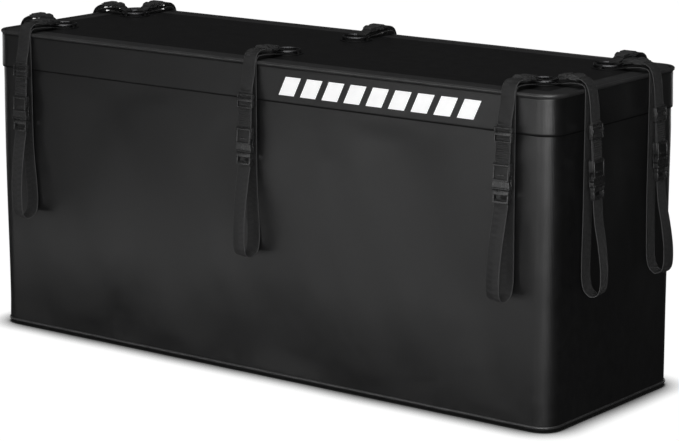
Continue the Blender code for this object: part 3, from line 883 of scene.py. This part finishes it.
def slab(outline_points, low, high, edge, matrix):
    """A plate with rounded edges: outline (y, z) extruded along x from low to high."""
    centre = sum((Vector(p) for p in outline_points), Vector((0, 0))) / len(outline_points)
    sections = []
    for x, inset in ((low, edge), (low + edge * 0.3, edge * 0.3), (low + edge, 0.0), (high - edge, 0.0),
                     (high - edge * 0.3, edge * 0.3), (high, edge)):
        loop = []
        for y, z in outline_points:
            away = Vector((y, z)) - centre
            scale_y = 1 - inset / max(abs(away.x), edge * 2)
            scale_z = 1 - inset / max(abs(away.y), edge * 2)
            loop.append(matrix @ Vector((x, centre.x + away.x * scale_y, centre.y + away.y * scale_z)))
        sections.append(loop)
    return loft(sections)


def merged(parts):
    """Points and faces of several shapes as one."""
    points, faces = [], []
    for more_points, more_faces in parts:
        base = len(points)
        points += more_points
        faces += [tuple(base + i for i in f) for f in more_faces]
    return points, faces


def rounded_rectangle(y0, y1, z0, z1, radius, steps=4):
    loop = []
    for cy, cz, turn in ((y1 - radius, z0 + radius, -90), (y1 - radius, z1 - radius, 0),
                         (y0 + radius, z1 - radius, 90), (y0 + radius, z0 + radius, 180)):
        for k in range(steps + 1):
            a = math.radians(turn + 90 * k / steps)
            loop.append((cy + radius * math.cos(a), cz + radius * math.sin(a)))
    return loop


def plate(across, down, radius, depth, edge, matrix):
    """A rounded rectangle, across = (y, y) by down = (z, z), as a slab over depth = (x, x)."""
    return slab(rounded_rectangle(*across, *down, radius), *depth, edge, matrix)


def plates(across, down, radius, depth, edge, matrix):
    """The same plate on the left and on the right; across counts from the middle."""
    return [plate(sorted(side * y for y in across), down, radius, depth, edge, matrix) for side in (-1, 1)]


def build_socket(name, seat):
    """Buckle socket: two shells joined at the sides, and a raised frame round a dark plate, which is painted
    shade inside the frame.
    """
    half, long = BUCKLE_HALF, BUCKLE_LENGTH
    side = [(half, -long), (half, -long + 0.009), (half - 0.0014, -long + 0.013),
            (half - 0.0014, -long + 0.023), (half, -long + 0.028), (half - 0.0006, -0.003),
            (half - 0.0030, 0)]
    waist = [(-half, -long)] + side + [(-y, z) for y, z in side[:0:-1]]
    frame_low, frame_high, frame_bar = -long + 0.0165, -0.0025, 0.0042
    parts = [slab(waist, 0.0034, 0.0048, 0.0005, seat), slab(waist, -0.0058, -0.0036, 0.0009, seat)]
    for down in ((frame_low, frame_low + frame_bar), (frame_high - frame_bar, frame_high),
                 (-long + 0.0010, -long + frame_bar)):
        parts.append(plate((-half + 0.0012, half - 0.0012), down, 0.0012, (0.0044, 0.0074), 0.0008, seat))
    parts += plates((half - 0.0052, half - 0.0014), (frame_low + 0.002, frame_high - 0.002), 0.0012,
                    (0.0044, 0.0070), 0.0008, seat)
    parts.append(plate((-0.0085, 0.0085), (frame_low + 0.0100, frame_low + 0.0135), 0.0012, (0.0044, 0.0062),
                       0.0007, seat))
    between = (-0.0040, 0.0040)
    rails = (half - 0.0026, half - 0.0002)
    lower, upper = (plates(rails, down, 0.0008, between, 0.0004, seat)
                    for down in ((-long + 0.0002, -long + 0.0095), (-0.0245, -0.0010)))
    parts += [lower[0], upper[0], lower[1], upper[1]]
    parts.append(plate((-half + 0.003, half - 0.003), (-0.0235, -0.0085), 0.001, between, 0.0004, seat))
    body = "strap_" + name
    socket = make("buckle_socket_shell_" + name, *merged(parts), PLASTIC, body, "plastic", sharp=20)
    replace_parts(socket, "buckle_socket_" + name)
    # A dark plate inside the frame: painted shade in the frame's hollow.
    shade_field = plate((-half + 0.0046, half - 0.0046), (frame_low + 0.0036, frame_high - 0.0036), 0.0010,
                  (0.0044, 0.0052), 0.0002, seat)
    make("buckle_recess_shade_" + name, *shade_field, RECESS_SHADE, body, "plastic", sharp=20)


def build_plug(name, seat):
    """Buckle plug: a base with its bar, two springy prongs with barbs, and the middle guide."""
    top = -BUCKLE_LENGTH - 0.0003
    foot = top - PLUG_LENGTH
    parts = [plate((-0.0185, 0.0185), (top - 0.0100, top), 0.0020, (-0.0052, 0.0052), 0.0010, seat)]
    rails = plates((0.0140, 0.0183), (foot, top - 0.006), 0.0018, (-0.0046, 0.0046), 0.0009, seat)
    for side, rail in zip((-1, 1), rails):
        inner, outer, barb = side * 0.0088, side * 0.0128, side * 0.0166
        prong = [(inner, top - 0.001), (outer, top - 0.001), (outer, top + 0.0095), (barb, top + 0.0120),
                 (barb, top + 0.0200), (side * 0.0140, top + 0.0255), (side * 0.0120, top + 0.0255),
                 (inner, top + 0.018)]
        parts += [rail, slab(prong if side > 0 else prong[::-1], -0.0030, 0.0030, 0.0006, seat)]
    for depth in ((0.0011, 0.0046), (-0.0046, -0.0011)):
        parts.append(plate((-0.0160, 0.0160), (foot, foot + 0.0050), 0.0015, depth, 0.0007, seat))
    parts.append(plate((-0.0028, 0.0028), (top - 0.001, top + 0.018), 0.0012, (-0.0026, 0.0026), 0.0005,
                       seat))
    plug = make("buckle_plug_shell_" + name, *merged(parts), PLASTIC, "plug_" + name, "plastic", sharp=20)
    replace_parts(plug, "buckle_plug_" + name)


def build_glide(name, saddle):
    """Tri-glide: side rails joined by three bars in front of the webbing and two behind it."""
    half = 0.0145
    parts = plates((0.0168, 0.0200), (-half, half), 0.0014, (-0.0028, 0.0030), 0.0008, saddle)
    for low, high, front, back in ((-half, -0.0115, 0.0030, 0.0056), (-0.0015, 0.0055, 0.0030, 0.0068),
                                   (0.0115, half, 0.0030, 0.0056), (-half, -0.0100, -0.0030, -0.0012),
                                   (0.0100, half, -0.0030, -0.0012)):
        parts.append(plate((-0.0180, 0.0180), (low, high), 0.0012, (front, back), 0.0006, saddle))
    parts += plates((0.0168, 0.0196), (-0.0143, 0.0143), 0.0012, (0.0020, 0.0056), 0.0006, saddle)
    glide = make("tri_glide_frame_" + name, *merged(parts), PLASTIC, "glide_" + name, "plastic", sharp=20)
    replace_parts(glide, "tri_glide_" + name)


def build_hardware(name, matrix):
    """Side-release buckle and tri-glide, tilted with the strand that they sit on."""
    def on_strand(below):
        place = strand(below)
        return matrix @ Matrix.Translation((place.x, 0, place.y)) @ Matrix.Rotation(-LEAN, 4, "Y")

    seat = on_strand(0)
    build_socket(name, seat)
    build_plug(name, seat)
    build_glide(name, on_strand((BUCKLE_Z - GLIDE_Z) / math.cos(LEAN)))


# ---- Print on the skirt ----------------------------------------------------------------------
def build_print():
    """A plain row of slanted reflective bars along the right half of the front skirt."""
    start, end = 0.070, 0.560
    low, high = SKIRT_Z + 0.017, SKIRT_Z + 0.055
    lean = 0.018
    bars, gap = 9, 0.016
    pitch = (end - start) / bars
    wide, tall = 7, 9
    grid = wide * tall
    rim = (list(range(wide)) + [i * wide + wide - 1 for i in range(1, tall)]
           + [(tall - 1) * wide + j for j in range(wide - 2, -1, -1)]
           + [i * wide for i in range(tall - 2, 0, -1)])
    for number in range(bars):
        left = start + pitch * number
        right = left + pitch - gap
        places = []
        for k in range(tall):
            t = k / (tall - 1)
            places += [(left + (right - left) * j / (wide - 1) + lean * t, low + (high - low) * t)
                       for j in range(wide)]
        points = [(x, -(HALF_Y + skirt_out(x, -HALF_Y, z) + layer), z)
                  for layer in (0.00010, 0.00045) for x, z in places]
        faces = []
        for first in (0, grid):
            for i in range(tall - 1):
                for j in range(wide - 1):
                    a = first + i * wide + j
                    faces.append((a, a + 1, a + wide + 1, a + wide))
        for a, b in zip(rim, rim[1:] + rim[:1]):
            faces.append((a, b, b + grid, a + grid))
        make("print_bar_%d" % (number + 1), points, faces, PRINT, "lid", "tarpaulin", sharp=50)


def build_hinge_strip():
    """Cloth welded to the tub and to the back of the skirt, along the back edge where the lid opens; the strip
    is joined to no body and stays fixed.
    """
    def on_cloth(x, z, off):
        step = smoothstep(SKIRT_Z - 0.006, SKIRT_Z + 0.001, z)
        tub, skirt = tub_out(x, HALF_Y, z), skirt_out(x, HALF_Y, max(z, SKIRT_Z))
        base = tub * (1 - step) + skirt * step + 0.0007 * step
        return x, HALF_Y + base + off, z

    columns, rows, strip_height = 96, 22, 0.044
    half = HALF_X - CORNER - 0.01
    heights = [SKIRT_Z - strip_height / 2 + strip_height * j / rows for j in range(rows + 1)]
    sections = []
    for k in range(columns + 1):
        x = -half + 2 * half * k / columns
        sections.append([on_cloth(x, z, 0.0011) for z in heights]
                        + [on_cloth(x, z, 0.0002) for z in heights[::-1]])
    points, faces = loft(sections)
    piece = make("hinge_strip", points, faces, TARP, None, "tarpaulin")
    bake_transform(piece)


# ---- Stage, light, camera --------------------------------------------------------------------
def aim(item, target):
    item.rotation_euler = (Vector(target) - Vector(item.location)).to_track_quat("-Z", "Y").to_euler()


def area_light(name, location, target, size, power):
    data = bpy.data.lights.new(name, "AREA")
    data.shape = "RECTANGLE"
    data.size, data.size_y = size
    data.energy = power
    item = add_object(name, data)
    item.location = location
    aim(item, target)


def build_stage():
    g = Graph("studio_floor")
    # The floor glows white and dims by ambient occlusion near the bag: a painted shadow where the bag meets the
    # floor.
    painted_contact_shadow = g.add("ShaderNodeAmbientOcclusion", {"samples": 16}, Distance=0.057)
    glow = g.math("POWER", g.remap(painted_contact_shadow.outputs["AO"], 0.43, 0.99), 1.25)
    g.finish(Base_Color=(0.04, 0.04, 0.04), Roughness=0.9, Specular_IOR_Level=0.0,
             Emission_Color=(1.0, 1.0, 1.0), Emission_Strength=glow)
    half, under = 40, -0.0005
    corners = [(-half, -half, under), (half, -half, under), (half, half, under), (-half, half, under)]
    floor = make("studio_floor", corners, [(0, 1, 2, 3)], g.material, smooth=False)
    floor.visible_glossy = False
    floor.visible_diffuse = False
    floor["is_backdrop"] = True
    world = bpy.data.worlds.new("studio")
    world.use_nodes = True
    tree = world.node_tree
    shade = tree.nodes["Background"]
    shade.inputs["Color"].default_value = (1, 1, 1, 1)
    shade.inputs["Strength"].default_value = 0.026
    seen = tree.nodes.new("ShaderNodeBackground")
    seen.inputs["Color"].default_value = (1, 1, 1, 1)
    seen.inputs["Strength"].default_value = 1.0
    rays = tree.nodes.new("ShaderNodeLightPath")
    choose = tree.nodes.new("ShaderNodeMixShader")
    tree.links.new(rays.outputs["Is Camera Ray"], choose.inputs[0])
    tree.links.new(shade.outputs[0], choose.inputs[1])
    tree.links.new(seen.outputs[0], choose.inputs[2])
    tree.links.new(choose.outputs[0], tree.nodes["World Output"].inputs["Surface"])
    bpy.context.scene.world = world
    sun = bpy.data.lights.new("overhead", "SUN")
    sun.energy = 1.15
    sun.angle = math.radians(60)
    item = add_object("overhead", sun)
    item.location = (0, 0, 4)
    aim(item, (-0.3, 0.9, 0))
    # The key and the near fill light the near corner. The next four even out the front wall.
    area_light("corner_key", (2.40, -2.68, 0.80), (0.70, -0.22, 0.40), (2.5, 1.4), 62)
    area_light("near_fill", (0.28, -3.18, 0.55), (0.62, -0.22, 0.35), (1.7, 1.0), 15)
    area_light("front_fill", (-0.75, -2.35, 0.20), (0.15, -0.23, 0.25), (2.8, 0.38), 4.2)
    area_light("side_fill", (-0.80, -2.20, 0.22), (0.45, -0.23, 0.30), (0.8, 0.36), 0.8)
    area_light("low_fill", (-0.46, -0.80, 0.060), (-0.35, -0.23, 0.06), (1.7, 0.10), 0.85)
    area_light("wall_pool", (-0.25, -1.15, 0.42), (0.12, -0.23, 0.46), (0.35, 0.30), 0.22)
    # No higher than the lid, so that they light the back and the left end and hardly the top.
    area_light("rear_fill", (-0.70, 2.80, 0.31), (-0.20, 0.23, 0.31), (3.8, 0.60), 12)
    area_light("left_fill", (-3.20, 0.60, 0.31), (-0.72, 0.0, 0.31), (2.0, 0.60), 5)


def build_camera():
    """From the front right, a little above the lid, through a long lens."""
    azimuth, elevation = math.radians(37.29), math.radians(12.34)
    distance = 5.5375
    view = Vector((-math.sin(azimuth) * math.cos(elevation), math.cos(azimuth) * math.cos(elevation),
                   -math.sin(elevation)))
    right = Vector((math.cos(azimuth), math.sin(azimuth), 0))
    up = right.cross(view)
    target = Vector((0, 0, 0.362)) + right * 0.0365 - up * 0.0754
    data = bpy.data.cameras.new("camera")
    data.lens = 138.8
    data.sensor_width = 36.0
    data.clip_end = 200
    camera = add_object("camera", data)
    camera.location = target - view * distance
    camera.rotation_euler = view.to_track_quat("-Z", "Y").to_euler()
    bpy.context.scene.camera = camera


def build_object():
    build_tub()
    bead_round("base_welt", WELT_OUT, (WELT_LOW.z + WELT_HIGH.z) / 2, WELT_RADIUS, "tub")
    build_lid()
    bead_round("lid_piping", PIPING_OUT, PIPING_Z, PIPING_RADIUS, "lid", sides=16)
    build_zip_teeth()
    build_anchors()
    for strap in STRAPS:
        build_strap(*strap)
    build_print()
    build_hinge_strip()


bpy.context.scene.view_settings.view_transform = "Standard"
build_camera()
build_stage()
build_object()

low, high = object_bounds()
({"cad": [[float(v) for v in c] for c in CAD_BOX],
           "visual": [[float(v) for v in c] for c in (low, high)]})
